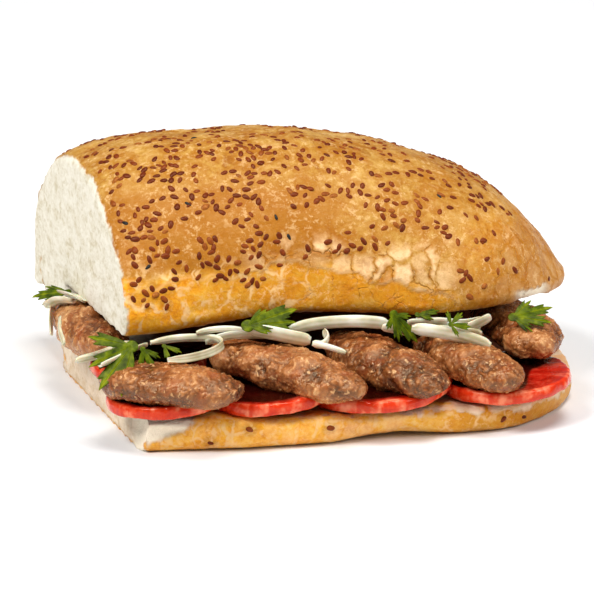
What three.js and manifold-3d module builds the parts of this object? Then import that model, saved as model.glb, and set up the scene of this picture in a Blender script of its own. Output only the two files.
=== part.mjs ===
// A kofte sandwich in half a loaf: split bread hinged along its back, patties, tomato, onion and parsley.
// Millimetres. +X runs from the cut end to the round end, -Y is the open front, +Z is up.
import * as THREE from "three";
import { mergeVertices } from "three/addons/utils/BufferGeometryUtils.js";
import Module from "manifold-3d";

const wasm = await Module();
wasm.setup();
const { Manifold, Mesh: SolidMesh } = wasm;

// The cut face meets the loaf's centre line at CUT_X and leans back by CUT_SKEW along X for each millimetre of Y.
// Through the lower half it leans as well, so that the foot stands further out.
const CUT_X = -67.4;
const CUT_SKEW = 0.132;
const CUT_OVERRUN = 6;
const FOOT = { x: -66.9, skew: 0.118, lean: 0.16 };

// Upper half of the loaf: its tip, its edges at the cut, its crown and the levels of its widest line and underside
const TOP = { tipX: 104, tipY: 27, frontY: -22, backY: 93, crownZ: 92, frontZ: 40, backZ: 31, underFrontZ: 33.5, underBackZ: 23.5 };

// How strongly the round end leans back above the widest line of the top
const NOSE_LEAN = 1.4;
const WIDEST_Z = 38;
const noseLean = (height) => (NOSE_LEAN * Math.max(0, height)) / Math.sqrt(Math.max(0, height) + 2);

// Lower half of the loaf: its tip, its edges at the cut, how far its front swells out between the ends, its thickness
// at the cut and at the round end, how far its front edge rises off the table, and the rounding of its upper edge
const BASE = { tipX: 100, tipY: 14, frontY: -45, backY: 56, swell: 6.8, thick: 12.5, thin: 10.4, lift: 2.6, brow: 3.5 };

// The bread behind the filling that joins the halves: its outside at the base and at the top, its inside at the cut
// and further in, and how far along the loaf it runs
const HINGE = { lowY: 50, highY: 92, highZ: 36, cutInnerY: 54, innerY: 28, reach: 0.86 };

const clamp01 = (v) => Math.min(1, Math.max(0, v));
const smooth = (v) => clamp01(v) ** 2 * (3 - 2 * clamp01(v));
const mix = (a, b, t) => a + (b - a) * t;
const power = (v, exponent) => Math.sign(v) * Math.abs(v) ** exponent;

// Smooth seeded unevenness, about -1 to 1, that varies over roughly `size` millimetres.
function uneven(x, y, z, size, seed) {
  const k = 2.2 / size;
  return (Math.sin(k * (1.3 * x + 0.7 * y) + seed) + Math.sin(k * (1.1 * y - 0.9 * z) + 2.3 * seed)
    + Math.sin(k * (1.2 * z + 0.8 * x) + 4.1 * seed)) / 3;
}

// Moves every vertex of a closed geometry through a function and welds the shared ones.
function reshape(geometry, move) {
  geometry.deleteAttribute("normal");
  geometry.deleteAttribute("uv");
  const welded = mergeVertices(geometry, 1e-4);
  const place = welded.attributes.position;
  const point = new THREE.Vector3();
  for (let i = 0; i < place.count; i += 1) {
    move(point.fromBufferAttribute(place, i));
    place.setXYZ(i, point.x, point.y, point.z);
  }
  return welded;
}

function solid(geometry) {
  return new Manifold(new SolidMesh({
    numProp: 3,
    vertProperties: new Float32Array(geometry.attributes.position.array),
    triVerts: new Uint32Array(geometry.index.array),
  }));
}

function geometryOf(body) {
  const mesh = body.getMesh();
  const geometry = new THREE.BufferGeometry();
  geometry.setAttribute("position", new THREE.BufferAttribute(new Float32Array(mesh.vertProperties), 3));
  geometry.setIndex(new THREE.BufferAttribute(new Uint32Array(mesh.triVerts), 1));
  return geometry;
}

// A closed loft along X: ring(t, angle) gives a section point, with angle 0 at the top and a quarter turn at the back.
function loft(steps, around, ring) {
  return reshape(new THREE.CylinderGeometry(1, 1, 1, around, steps), (p) => {
    const t = 0.5 - p.y;
    const angle = Math.atan2(p.x, p.z);
    const radius = Math.hypot(p.x, p.z);
    const middle = ring(t, 0).add(ring(t, Math.PI)).multiplyScalar(0.5);
    p.copy(middle.lerp(ring(t, angle), radius));
  });
}

// Share of the full section left at u, a share of the loaf's length: whole up to `from`, closing to the tip.
function fullness(u, from, exponent) {
  const past = clamp01((u - from) / (1 - from));
  return Math.max(0.05, (1 - past ** exponent) ** (1 / exponent));
}

// Stations bunch toward the tip, where the outline turns fastest.
const along = (t) => Math.sin((t * Math.PI) / 2);

// X of a station: it follows the leaning cut at one end and a plain section at the other.
const stationX = (u, y, tipX) => mix(CUT_X - CUT_SKEW * y - CUT_OVERRUN, tipX, u);

// One quarter of a box section with a rounded corner, for q from the middle of its level side to the middle of its upright.
function roundedQuarter(q, halfWidth, halfHeight, radius) {
  const turn = clamp01((q - 0.4) / 0.45) * (Math.PI / 2);
  const level = clamp01(q / 0.4);
  const upright = 1 - clamp01((q - 0.85) / 0.15);
  return [
    (halfWidth - radius) * level + radius * Math.sin(turn),
    (halfHeight - radius) * upright + radius * Math.cos(turn),
  ];
}

// The top's underside bows up between the cut end and the round end.
const arch = (u) => 4.4 * smooth(1 - Math.abs(u - 0.37) / 0.3) + 1.5 * smooth((u - 0.3) / 0.5) * (1 - smooth((u - 0.82) / 0.15));

function topRing(t, angle) {
  const u = along(t);
  const reach = Math.sin(angle);
  const back = reach >= 0;
  const halfWidth = back
    ? (TOP.backY - TOP.tipY) * fullness(u, 0.2, 2.2)
    : (TOP.tipY - TOP.frontY) * fullness(u, 0.6, 2.3) + 3 * smooth(1 - Math.abs(u - 0.7) / 0.3);
  const tilt = (TOP.frontZ - TOP.backZ) / 2;
  const middleZ = mix(TOP.frontZ - tilt - tilt * reach, WIDEST_Z, smooth(u)) + arch(u) * 0.5;
  if (Math.cos(angle) >= 0) {
    // The crown settles toward the cut, and its front shoulder slumps further.
    const settle = 14 * Math.exp(-u / 0.065);
    const slump = 10 * Math.exp(-u / 0.08) * smooth(1 - Math.abs(angle + 0.6) / 1.1);
    const crown = mix(WIDEST_Z, TOP.crownZ - settle, fullness(u, 0.36, 1.8));
    const swell = 1 + 0.014 * uneven(170 * u, 60 * angle, 0, 17, 1.7);
    const y = TOP.tipY + halfWidth * swell * power(reach, 0.97);
    const z = middleZ + (crown - middleZ) * swell * power(Math.cos(angle), 0.97) - slump;
    const lean = noseLean(z - WIDEST_Z) * smooth((u - 0.8) / 0.2);
    return new THREE.Vector3(stationX(u, y, TOP.tipX) - lean, y, z);
  }
  const depth = middleZ - mix(TOP.underFrontZ, 33.5, u) - arch(u);
  const quarter = Math.abs(Math.asin(clamp01(Math.abs(reach)))) / (Math.PI / 2);
  const [out, down] = roundedQuarter(quarter, halfWidth, depth, Math.min(5, depth));
  const y = TOP.tipY + (back ? out : -out);
  const tuck = (TOP.underFrontZ - TOP.underBackZ) * smooth((y - 48) / 44) * (1 - smooth(u)) * (down / depth);
  return new THREE.Vector3(stationX(u, y, TOP.tipX), y, middleZ - down - tuck);
}

function baseRing(t, angle) {
  const u = along(t);
  const back = Math.sin(angle) >= 0;
  const up = Math.cos(angle) >= 0;
  const halfWidth = back
    ? (BASE.backY - BASE.tipY) * fullness(u, 0.3, 2.2)
    : (BASE.tipY - BASE.frontY) * fullness(u, 0.66, 2.6) + BASE.swell * smooth(u / 0.25) * (1 - smooth((u - 0.75) / 0.25));
  const height = mix(BASE.thick, BASE.thin, smooth(u / 0.5));
  const waist = 0.66 * height;
  const quarter = Math.abs(Math.asin(clamp01(Math.abs(Math.sin(angle))))) / (Math.PI / 2);
  const belly = mix(4, 8, smooth(u / 0.25)) * (1 - 0.4 * u);
  const [out, rise] = roundedQuarter(quarter, halfWidth, up ? height - waist : waist, up ? BASE.brow : belly);
  const swell = out > halfWidth - 1 ? 0.9 * uneven(160 * u, 30 * angle, 0, 14, 3.3) : 0;
  const y = BASE.tipY + (back ? out : -out - swell);
  const lift = back || up ? 0 : BASE.lift * smooth(1 - Math.abs(u - 0.54) / 0.14) * (out / halfWidth) ** 4;
  return new THREE.Vector3(stationX(u, y, BASE.tipX), y, waist + (up ? rise : lift - rise));
}

// The hinge climbs from the base's back edge, leaning outward, and runs into the top.
function hingeRing(t, angle) {
  const u = HINGE.reach * t;
  const rise = (1 + power(Math.cos(angle), 0.6)) / 2;
  const across = (1 + power(Math.sin(angle), 0.6)) / 2;
  const outer = TOP.tipY + (mix(HINGE.lowY, HINGE.highY, rise ** 0.8) - TOP.tipY) * fullness(u, 0.25, 2.2);
  const inner = mix(HINGE.cutInnerY, HINGE.innerY, smooth(u / 0.3)) + 3 * Math.cos(Math.PI * rise);
  const y = mix(Math.min(inner, outer - 4), outer, across);
  return new THREE.Vector3(stationX(u, y, TOP.tipX), y, mix(3, HINGE.highZ, rise));
}

const cutNormal = new THREE.Vector3(1, CUT_SKEW, 0);
const cutLength = cutNormal.length();

// The knife's plane through the top, and through the base, where it leans so that the foot stands further out.
const cutPlane = [cutNormal.clone().divideScalar(cutLength).toArray(), CUT_X / cutLength];
const footNormal = new THREE.Vector3(1, FOOT.skew, -FOOT.lean);
const footPlane = [footNormal.clone().normalize().toArray(), (FOOT.x - FOOT.lean * BASE.thick) / footNormal.length()];

const loaf = solid(loft(24, 30, topRing))
  .add(solid(loft(9, 12, hingeRing)))
  .trimByPlane(...cutPlane)
  .add(solid(loft(18, 24, baseRing)).trimByPlane(...footPlane))
  .trimByPlane([0, 0, 1], 0);

// Repeatable random numbers from 0 to 1
function randomFrom(seed) {
  let state = seed;
  return () => {
    state = (state * 1664525 + 1013904223) % 4294967296;
    return state / 4294967296;
  };
}

const SEEDS = { count: 174, length: 3.3, width: 2.1, height: 1.7, spacing: 3.4 };

// Sesame on the crown and front slope of the top: half sunk in the crust, turned at random, thinner low down and at the tip.
function sesame() {
  const random = randomFrom(29);
  const spots = [];
  const seeds = [];
  while (seeds.length < SEEDS.count) {
    const t = mix(0.04, 0.93, random());
    const angle = mix(-1.35, 0.95, random());
    const wanted = mix(1, 0.12, smooth((Math.abs(angle + 0.25) - 0.45) / 0.6)) * mix(1, 0.55, smooth((t - 0.6) / 0.3));
    if (random() > wanted) continue;
    const at = topRing(t, angle);
    const inside = cutNormal.dot(at) > CUT_X + 2.5;
    if (!inside || spots.some((spot) => spot.distanceTo(at) < SEEDS.spacing)) continue;
    const alongX = topRing(t + 0.004, angle).sub(at).normalize();
    const outward = new THREE.Vector3().crossVectors(alongX, topRing(t, angle + 0.01).sub(at)).normalize();
    const turn = random() * Math.PI * 2;
    const size = mix(0.85, 1.1, random());
    const ahead = alongX.clone().applyAxisAngle(outward, turn);
    const frame = new THREE.Matrix4().makeBasis(ahead, outward, new THREE.Vector3().crossVectors(ahead, outward));
    const body = new THREE.SphereGeometry(size / 2, 6, 3).scale(SEEDS.length, SEEDS.height, SEEDS.width);
    seeds.push(solid(reshape(body.applyMatrix4(frame.setPosition(at)), () => {})));
    spots.push(at);
  }
  return seeds;
}

// Merges what a cut or a union left behind: splinters and edges inside flat faces.
const tidied = (body) => body.asOriginal().simplify(0.035);

const breadSolid = tidied(Manifold.union([loaf, ...sesame()]));

const degrees = THREE.MathUtils.degToRad;

// Places a body lying along X: yaw turns it in plan, pitch lowers its front end, roll tips it about its own length.
function placement({ at, yaw = 0, pitch = 0, roll = 0 }) {
  const turn = new THREE.Euler(degrees(roll), degrees(pitch), degrees(yaw), "ZYX");
  return new THREE.Matrix4().makeRotationFromEuler(turn).setPosition(...at);
}

// A hand-shaped patty: a long rounded body with blunt ends and a lumpy skin, `grow` larger all round when it carves.
function patty(spec, grow = 0) {
  const [length, width, height] = spec.size.map((v) => v / 2 + grow);
  const geometry = reshape(new THREE.SphereGeometry(1, 18, 10), (p) => {
    const lump = 1 + 0.035 * uneven(p.x * length, p.z * width, p.y * height, 9, spec.seed);
    const blunt = (1 - Math.abs(p.x) ** 2.5) ** (1 / 2.5) / Math.max(0.02, Math.sqrt(1 - p.x * p.x));
    const share = p.x * p.x < 0.9995 ? blunt : 1;
    p.set(p.x * length, -p.z * width * share * lump, p.y * height * share * lump);
  });
  return solid(geometry.applyMatrix4(placement(spec)));
}

const PATTIES = [
  { at: [-70.5, 22, 24.6], yaw: 98, pitch: 2, size: [60, 21, 16], seed: 1.1 },
  { at: [-53, -43.5, 23], yaw: -30, size: [51.5, 24, 13.8], seed: 2.3 },
  { at: [-12, -36, 23.2], yaw: -45, pitch: 4, size: [63, 22.5, 15], seed: 3.2 },
  { at: [23, -35, 22.4], yaw: -63, pitch: 4, size: [57, 22.5, 15], seed: 4.7 },
  { at: [51.5, -36, 22], yaw: -66, pitch: 3, size: [52, 22, 14], seed: 5.9 },
  { at: [78, -8, 24.4], yaw: -86, size: [56, 26, 14.5], seed: 6.4 },
];

// A slice of tomato: a flat oval with an uneven, slightly bulged rim.
function slice(spec, grow = 0) {
  const [length, width, thickness] = spec.size.map((v) => v / 2 + grow);
  const geometry = reshape(new THREE.CylinderGeometry(1, 1, 1, 26, 2), (p) => {
    const angle = Math.atan2(p.z, p.x);
    const wobble = 1 + 0.02 * Math.sin(2 * angle + spec.seed) + 0.012 * Math.sin(5 * angle + 2 * spec.seed);
    const bulge = 1 + 0.03 * (1 - (2 * p.y) ** 2);
    p.set(p.x * length * wobble * bulge, -p.z * width * wobble * bulge, 2 * p.y * thickness);
  });
  return solid(geometry.applyMatrix4(placement(spec)));
}

const TOMATOES = [
  { at: [-52, 7, 15.2], size: [40, 36, 4.4], seed: 0.7 },
  { at: [-52, -33, 16], size: [41, 38, 4.6], pitch: -4, seed: 1.9 },
  { at: [-18, -34, 15.2], size: [40, 40, 4.8], pitch: -4, seed: 3.1 },
  { at: [21, -32, 14.4], size: [50, 49, 4.8], pitch: -4, seed: 4.4 },
  { at: [66, -33, 14], size: [46, 46, 4.8], pitch: -3.5, seed: 5.2 },
];

// A strip of onion along a path: `width` and `thickness` of its band, `lean` from standing on edge (0) to lying flat (90).
function strip(spec, grow = 0) {
  const path = new THREE.CatmullRomCurve3(spec.path.map((p) => new THREE.Vector3(...p)));
  const steps = 3 * (spec.path.length - 1);
  const lean = degrees(spec.lean ?? 10);
  const geometry = reshape(new THREE.CylinderGeometry(1, 1, 1, 6, steps), (p) => {
    const t = clamp01(0.5 - p.y);
    const ahead = path.getTangent(t);
    const side = new THREE.Vector3().crossVectors(ahead, new THREE.Vector3(0, 0, 1)).normalize();
    side.applyAxisAngle(ahead, lean);
    const up = new THREE.Vector3().crossVectors(side, ahead);
    const taper = Math.sqrt(Math.max(0.12, 1 - Math.abs(2 * t - 1) ** 5));
    const across = (spec.thickness / 2) * mix(1, taper, 0.5) + grow;
    const high = (spec.width / 2) * taper + grow;
    const overshoot = ahead.multiplyScalar(grow * (t < 0.01 ? -1 : t > 0.99 ? 1 : 0));
    p.copy(path.getPoint(t).addScaledVector(side, p.x * across).addScaledVector(up, -p.z * high).add(overshoot));
  });
  return solid(geometry);
}

const ONIONS = [
  { path: [[-57, -27, 33.2], [-49, -25, 33.4], [-42, -25, 33.4], [-35, -27, 33.2], [-33, -32, 32.6], [-38, -38, 32], [-46, -42, 31.7], [-54, -43, 31.7]], width: 2.9, thickness: 1.4 },
  { path: [[-41, -26, 35.3], [-35, -26.5, 36.2], [-29, -26.5, 36], [-22, -27, 34.6]], width: 2.3, thickness: 1.2 },
  { path: [[-23, -28, 35.8], [-16, -30, 34.8], [-9, -32, 33.4], [-3, -33.5, 32.2]], width: 6, thickness: 1.3, lean: 25 },
  { path: [[-2.5, -34, 31.4], [0.5, -35, 31], [2.6, -33.5, 32.4], [2.2, -31, 35]], width: 3, thickness: 1.2 },
  { path: [[-3.5, -38, 32.4], [1.4, -39, 31.4], [7.5, -41, 29.4]], width: 2.2, thickness: 1.2 },
  { path: [[-9.5, -27, 34.4], [-2, -27, 35.8], [5, -27.5, 36.4], [14, -27.5, 36.2], [21, -27, 35.2], [26, -26, 34]], width: 4.6, thickness: 1.5 },
  { path: [[32.5, -27, 34.4], [39, -27.5, 34.4], [46.5, -27, 34]], width: 3.8, thickness: 1.2, lean: 40 },
  { path: [[32.5, -33, 34], [41, -35, 32.9], [51, -37, 30.6], [59, -38.5, 27.6]], width: 4.8, thickness: 1.5 },
  { path: [[52, -28, 30.4], [57, -27.5, 32.2], [62.5, -26, 34]], width: 6, thickness: 1.2, lean: 35 },
  { path: [[-83, 37, 30], [-79, 33, 33], [-75, 26, 34.8]], width: 6.5, thickness: 1.4, lean: 65 },
  { path: [[-83, -30, 29.6], [-77, -28, 30], [-70, -24, 30.6], [-63, -20, 31.6]], width: 3, thickness: 1.4 },
  { path: [[-76, -37.5, 30], [-70, -34, 31], [-64, -30, 32.2], [-58.5, -27.5, 33]], width: 4.6, thickness: 1.2, lean: 55 },
  { path: [[-81.5, 12, 32.5], [-82.6, 6, 29.5], [-82, 0.5, 26]], width: 3, thickness: 1.2, lean: 0 },
  { path: [[23, -29.5, 34.2], [28, -30, 33], [33, -30.5, 31.6]], width: 3.6, thickness: 1.2, lean: 25 },
];

// A leaf fanning out from its stalk into lobes: thin, wavy, pointing `toward` and facing `face`.
// Each lobe is [angle from the middle, share of the leaf's size].
function leaf(spec, grow = 0) {
  const first = spec.lobes[0][0] - 28;
  const last = spec.lobes.at(-1)[0] + 28;
  const outline = (angle) => spec.lobes.reduce((reach, [at, length]) => {
    const off = Math.abs(angle - at);
    return Math.max(reach, length * clamp01(1.25 - (off / 16) ** 1.5 * 0.8) ** 0.6);
  }, 0.14);
  const ahead = new THREE.Vector3(...spec.toward).normalize();
  const up = new THREE.Vector3(...spec.face).projectOnPlane(ahead).normalize();
  const frame = new THREE.Matrix4().makeBasis(ahead, new THREE.Vector3().crossVectors(up, ahead), up).setPosition(...spec.at);
  const geometry = reshape(new THREE.CylinderGeometry(1, 1, 1, 30, 1), (p) => {
    const share = (Math.atan2(-p.z, p.x) / (2 * Math.PI) + 1) % 1;
    const angle = share < 0.84 ? mix(first, last, share / 0.84) : mix(last, first + 360, (share - 0.84) / 0.16);
    const turn = degrees(angle);
    const radius = Math.hypot(p.x, p.z) * (spec.size * outline(angle) + grow);
    const wave = 0.05 * radius * Math.sin(4 * turn + spec.seed) - 0.006 * radius * radius;
    p.set(radius * Math.cos(turn), radius * Math.sin(turn), wave + 2 * p.y * (0.45 + grow));
  });
  return solid(geometry.applyMatrix4(frame));
}

const LEAVES = [
  { at: [-64.5, -34, 34.5], toward: [-0.6, -0.5, -0.62], face: [-0.25, -0.8, 0.55], size: 18.5, lobes: [[-76, 0.84], [-36, 0.86], [-6, 1.02], [19, 1]], seed: 0.4 },
  { at: [-61, -35, 33.6], toward: [0.35, -0.4, -0.7], face: [0, -0.8, 0.6], size: 8, lobes: [[-35, 0.8], [0, 1], [38, 0.85]], seed: 1.3 },
  { at: [-53, -31, 33], toward: [0.5, -0.6, -0.4], face: [0, -0.7, 0.7], size: 6.5, lobes: [[-30, 0.9], [25, 1]], seed: 2.6 },
  { at: [-74, 47, 31.5], toward: [-1, 0.25, -0.08], face: [-0.1, -0.4, 1], size: 13, lobes: [[-28, 0.75], [0, 1], [28, 0.8]], seed: 3.1 },
  { at: [-24, -30, 37.8], toward: [1, 0, 0.14], face: [0, -0.75, 0.7], size: 19, lobes: [[-28, 0.45], [-4, 0.9], [12, 1], [32, 0.5]], seed: 4.2 },
  { at: [26.5, -32, 39], toward: [0.5, -0.25, -0.8], face: [0, -0.9, 0.4], size: 13, lobes: [[-60, 0.45], [-22, 0.75], [8, 1], [50, 0.5]], seed: 5.5 },
  { at: [45, -38, 36], toward: [1, 0, -0.1], face: [0, -0.8, 0.6], size: 7.5, lobes: [[-60, 0.7], [-5, 1], [45, 0.9], [100, 0.7]], seed: 6.8 },
  { at: [36, -28, 37.2], toward: [1, 0, -0.05], face: [0, -0.6, 0.8], size: 8.5, lobes: [[-20, 0.7], [12, 1]], seed: 7.7 },
  { at: [71, -26, 33.4], toward: [1, -0.15, 0.12], face: [0, -0.6, 0.8], size: 15, lobes: [[-50, 0.6], [-18, 0.9], [12, 1], [42, 0.7]], seed: 8.9 },
];

// Every piece gives way by this much to the ones already in place.
const GAP = 0.3;
const sandwich = new THREE.Group();
const placed = [[0, 0, GAP], [0, 0, -GAP], [0, -GAP, 0]].map((nudge) => loaf.translate(nudge));

function largest(body) {
  const pieces = body.decompose();
  return pieces.reduce((kept, piece) => (piece.volume() > kept.volume() ? piece : kept));
}

function add(name, shape, spec, material) {
  const body = largest(tidied(placed.reduce((rest, grown) => rest.subtract(grown), shape(spec))));
  placed.push(shape(spec, GAP));
  sandwich.add(Object.assign(new THREE.Mesh(geometryOf(body), material), { name }));
}

const crust = new THREE.MeshStandardMaterial({ color: 0xd9952f, roughness: 0.6, metalness: 0 });
const meat = new THREE.MeshStandardMaterial({ color: 0x7a4a2c, roughness: 0.5, metalness: 0 });
const tomato = new THREE.MeshStandardMaterial({ color: 0xc22a1c, roughness: 0.25, metalness: 0 });
const onion = new THREE.MeshStandardMaterial({ color: 0xe9e8d6, roughness: 0.4, metalness: 0 });
const parsley = new THREE.MeshStandardMaterial({ color: 0x4f8a1c, roughness: 0.5, metalness: 0 });

sandwich.add(Object.assign(new THREE.Mesh(geometryOf(breadSolid), crust), { name: "bread" }));
PATTIES.forEach((spec, i) => add(`kofte_${i + 1}`, patty, spec, meat));
TOMATOES.forEach((spec, i) => add(`tomato_${i + 1}`, slice, spec, tomato));
ONIONS.forEach((spec, i) => add(`onion_${i + 1}`, strip, spec, onion));
LEAVES.forEach((spec, i) => add(`parsley_${i + 1}`, leaf, spec, parsley));

// The origin sits under the middle of the whole sandwich.
const middle = new THREE.Box3().setFromObject(sandwich).getCenter(new THREE.Vector3());
sandwich.children.forEach((piece) => piece.geometry.translate(-middle.x, -middle.y, 0));

export default sandwich;
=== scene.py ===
# Looks of a kofte sandwich: a crusty half loaf with sesame, patties, tomato, onion and parsley.
# Shapes are worked out in millimetres in the loaf's own frame, as in the part's source. LOAF_ORIGIN is
# the point of that frame where the part's origin lies.
import math

import bpy
import numpy as np
from mathutils import Matrix, Vector
from mathutils.bvhtree import BVHTree
from mathutils.kdtree import KDTree


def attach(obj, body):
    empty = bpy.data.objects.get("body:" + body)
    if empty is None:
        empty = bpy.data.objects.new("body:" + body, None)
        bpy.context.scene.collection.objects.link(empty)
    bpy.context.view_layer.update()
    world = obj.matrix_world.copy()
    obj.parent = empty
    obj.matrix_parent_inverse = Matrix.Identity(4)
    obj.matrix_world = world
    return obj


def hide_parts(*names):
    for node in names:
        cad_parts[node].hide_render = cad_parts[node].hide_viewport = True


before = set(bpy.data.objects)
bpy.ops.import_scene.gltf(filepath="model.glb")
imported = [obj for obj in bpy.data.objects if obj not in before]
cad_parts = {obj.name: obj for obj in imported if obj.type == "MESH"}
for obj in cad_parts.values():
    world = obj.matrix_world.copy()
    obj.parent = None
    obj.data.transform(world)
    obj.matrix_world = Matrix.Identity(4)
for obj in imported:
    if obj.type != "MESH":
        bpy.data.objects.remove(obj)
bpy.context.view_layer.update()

MM = 0.001
LOAF_ORIGIN = np.array([8.698, 15.995, 0.0])

# Camera of the photograph: turn and height in degrees, distance in millimetres, and pixels for a
# millimetre at the target
CAMERA = {"azimuth": -13.0, "elevation": 16.0, "distance": 1000.0, "scale": 2.86, "target": (0.0, 0.0, 38.0)}
IMAGE_SIZE = 594
SENSOR = 36.0

# The knife's plane through the top, and through the base, whose foot stands further out
CUT = {"x": -67.4, "skew": 0.132, "overrun": 6.0}
FOOT = {"x": -66.9, "skew": 0.118, "lean": 0.16}

# Upper half, lower half and hinge of the loaf
TOP = {"tip_x": 104, "tip_y": 27, "front_y": -22, "back_y": 93, "crown_z": 92, "front_z": 40, "back_z": 31,
       "under_front_z": 33.5, "under_back_z": 23.5, "nose_lean": 1.4, "widest_z": 38, "settle": 14,
       "slump": 10, "under_round": 5}
BASE = {"tip_x": 100, "tip_y": 14, "front_y": -45, "back_y": 56, "swell": 6.8, "thick": 12.5, "thin": 10.4,
        "lift": 2.6, "brow": 3.5}
HINGE = {"low_y": 50, "low_z": 3, "high_y": 92, "high_z": 36, "cut_inner_y": 54, "inner_y": 28, "reach": 0.86}

# Size of the faces of each fused skin
LOAF_VOXEL = 0.82
PATTY_VOXEL = 0.45
TOMATO_VOXEL = 0.6


def clamp01(v):
    return np.clip(v, 0.0, 1.0)


def smooth(v):
    v = clamp01(v)
    return v * v * (3 - 2 * v)


def rising(v, start, span):
    """0 up to `start`, and 1 from `span` past it."""
    return smooth((v - start) / span)


def falling(v, end, span):
    """1 up to `span` before `end`, and 0 from `end`."""
    return smooth((end - v) / span)


def hump(v, centre, reach):
    """1 at `centre`, and 0 from `reach` away."""
    return smooth(1 - np.abs(v - centre) / reach)


def most(*layers):
    return np.maximum.reduce(layers)


def mix(a, b, t):
    return a + (b - a) * t


def power(v, exponent):
    return np.sign(v) * np.abs(v) ** exponent


def unit(v):
    return v / np.linalg.norm(v)


def uneven(x, y, z, size, seed):
    """Smooth unevenness, about -1 to 1, as in the part's source."""
    k = 2.2 / size
    return (np.sin(k * (1.3 * x + 0.7 * y) + seed) + np.sin(k * (1.1 * y - 0.9 * z) + 2.3 * seed)
            + np.sin(k * (1.2 * z + 0.8 * x) + 4.1 * seed)) / 3


def hashed(cell, seed):
    """Repeatable random numbers from 0 to 1, one for each whole-number cell."""
    x, y, z = (cell[..., axis].astype(np.uint64) for axis in range(3))
    h = x * np.uint64(374761393) + y * np.uint64(668265263) + z * np.uint64(2246822519)
    h = h + np.uint64(seed * 3266489917)
    h = (h ^ (h >> np.uint64(15))) * np.uint64(2654435761)
    h = (h ^ (h >> np.uint64(13))) * np.uint64(1274126177)
    return ((h >> np.uint64(11)) & np.uint64(0xFFFFFF)).astype(float) / 0xFFFFFF


def grain(points, size, seed, octaves=1):
    """Smooth noise, about -1 to 1, whose blobs are about `size` across. Each octave adds a finer layer."""
    total = np.zeros(len(points))
    for octave in range(octaves):
        p = points * (2.0 ** octave / size) + 31.7 * seed + 1000.0
        cell = np.floor(p).astype(np.int64)
        f = p - cell
        f = f * f * f * (f * (f * 6 - 15) + 10)
        for corner in np.ndindex(2, 2, 2):
            step = np.array(corner)
            weight = np.prod(np.where(step == 1, f, 1 - f), axis=1)
            total += 0.5 ** octave * weight * (2 * hashed(cell + step, seed + octave) - 1)
    return total * 1.4


def grain_vector(points, size, seeds, octaves):
    return np.stack([grain(points, size, seed, octaves) for seed in seeds], axis=1)


def pebbles(points, size, seed):
    """Distance to the nearest and the next of scattered points about `size` apart, in units of size, and the
    nearest one's random number."""
    p = points / size + 1000.0
    cell = np.floor(p).astype(np.int64)
    first = np.full(len(p), 9.0)
    second = np.full(len(p), 9.0)
    label = np.zeros(len(p))
    for corner in np.ndindex(3, 3, 3):
        near = cell + np.array(corner) - 1
        spot = near + np.stack([hashed(near, seed + k) for k in range(3)], axis=1)
        gap = np.linalg.norm(p - spot, axis=1)
        closer = gap < first
        second = np.where(closer, first, np.minimum(second, gap))
        label = np.where(closer, hashed(near, seed + 7), label)
        first = np.where(closer, gap, first)
    return first, second, label


# Sections of the loaf

def fullness(u, start, exponent):
    """Share of the full section left at u: whole up to `start`, closing to the tip."""
    past = clamp01((u - start) / (1 - start))
    return np.maximum(0.05, (1 - past ** exponent) ** (1 / exponent))


def along(t):
    return np.sin(t * math.pi / 2)


def station_x(u, y, tip_x):
    return mix(CUT["x"] - CUT["skew"] * y - CUT["overrun"], tip_x, u)


def rounded_quarter(q, half_width, half_height, radius):
    """One quarter of a box section with a rounded corner, from the middle of its level side to that of
    its upright."""
    turn = clamp01((q - 0.4) / 0.45) * math.pi / 2
    level = clamp01(q / 0.4)
    upright = 1 - clamp01((q - 0.85) / 0.15)
    out = (half_width - radius) * level + radius * np.sin(turn)
    return out, (half_height - radius) * upright + radius * np.cos(turn)


def quarter_of(angle):
    return np.arcsin(clamp01(np.abs(np.sin(angle)))) / (math.pi / 2)


def arch(u):
    """How far the top's underside bows up between the cut end and the round end."""
    return 4.4 * hump(u, 0.37, 0.3) + 1.5 * rising(u, 0.3, 0.5) * (1 - rising(u, 0.82, 0.15))


def top_ring(t, angle):
    u = along(t)
    reach = np.sin(angle)
    rise = np.cos(angle)
    back = reach >= 0
    to_back = (TOP["back_y"] - TOP["tip_y"]) * fullness(u, 0.2, 2.2)
    to_front = (TOP["tip_y"] - TOP["front_y"]) * fullness(u, 0.6, 2.3) + 3 * hump(u, 0.7, 0.3)
    half_width = np.where(back, to_back, to_front)
    tilt = (TOP["front_z"] - TOP["back_z"]) / 2
    middle_z = mix(TOP["front_z"] - tilt - tilt * reach, TOP["widest_z"], smooth(u)) + arch(u) * 0.5
    # The crown settles toward the cut, and its front shoulder slumps further
    settle = TOP["settle"] * np.exp(-u / 0.065)
    slump = TOP["slump"] * np.exp(-u / 0.08) * hump(angle, -0.6, 1.1)
    crown = mix(TOP["widest_z"], TOP["crown_z"] - settle, fullness(u, 0.36, 1.8))
    swell = 1 + 0.014 * uneven(170 * u, 60 * angle, 0, 17, 1.7)
    over_y = TOP["tip_y"] + half_width * swell * power(reach, 0.97)
    over_z = middle_z + (crown - middle_z) * swell * power(rise, 0.97) - slump
    height = np.maximum(0, over_z - TOP["widest_z"])
    lean = TOP["nose_lean"] * height / np.sqrt(height + 2) * rising(u, 0.8, 0.2)
    depth = middle_z - TOP["under_front_z"] - arch(u)
    out, down = rounded_quarter(quarter_of(angle), half_width, depth, np.minimum(TOP["under_round"], depth))
    under_y = TOP["tip_y"] + np.where(back, out, -out)
    drop = TOP["under_front_z"] - TOP["under_back_z"]
    sag = drop * rising(under_y, 48, 44) * (1 - smooth(u)) * (down / depth)
    over = rise >= 0
    y = np.where(over, over_y, under_y)
    z = np.where(over, over_z, middle_z - down - sag)
    return np.stack([station_x(u, y, TOP["tip_x"]) - np.where(over, lean, 0), y, z], axis=-1)


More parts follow.
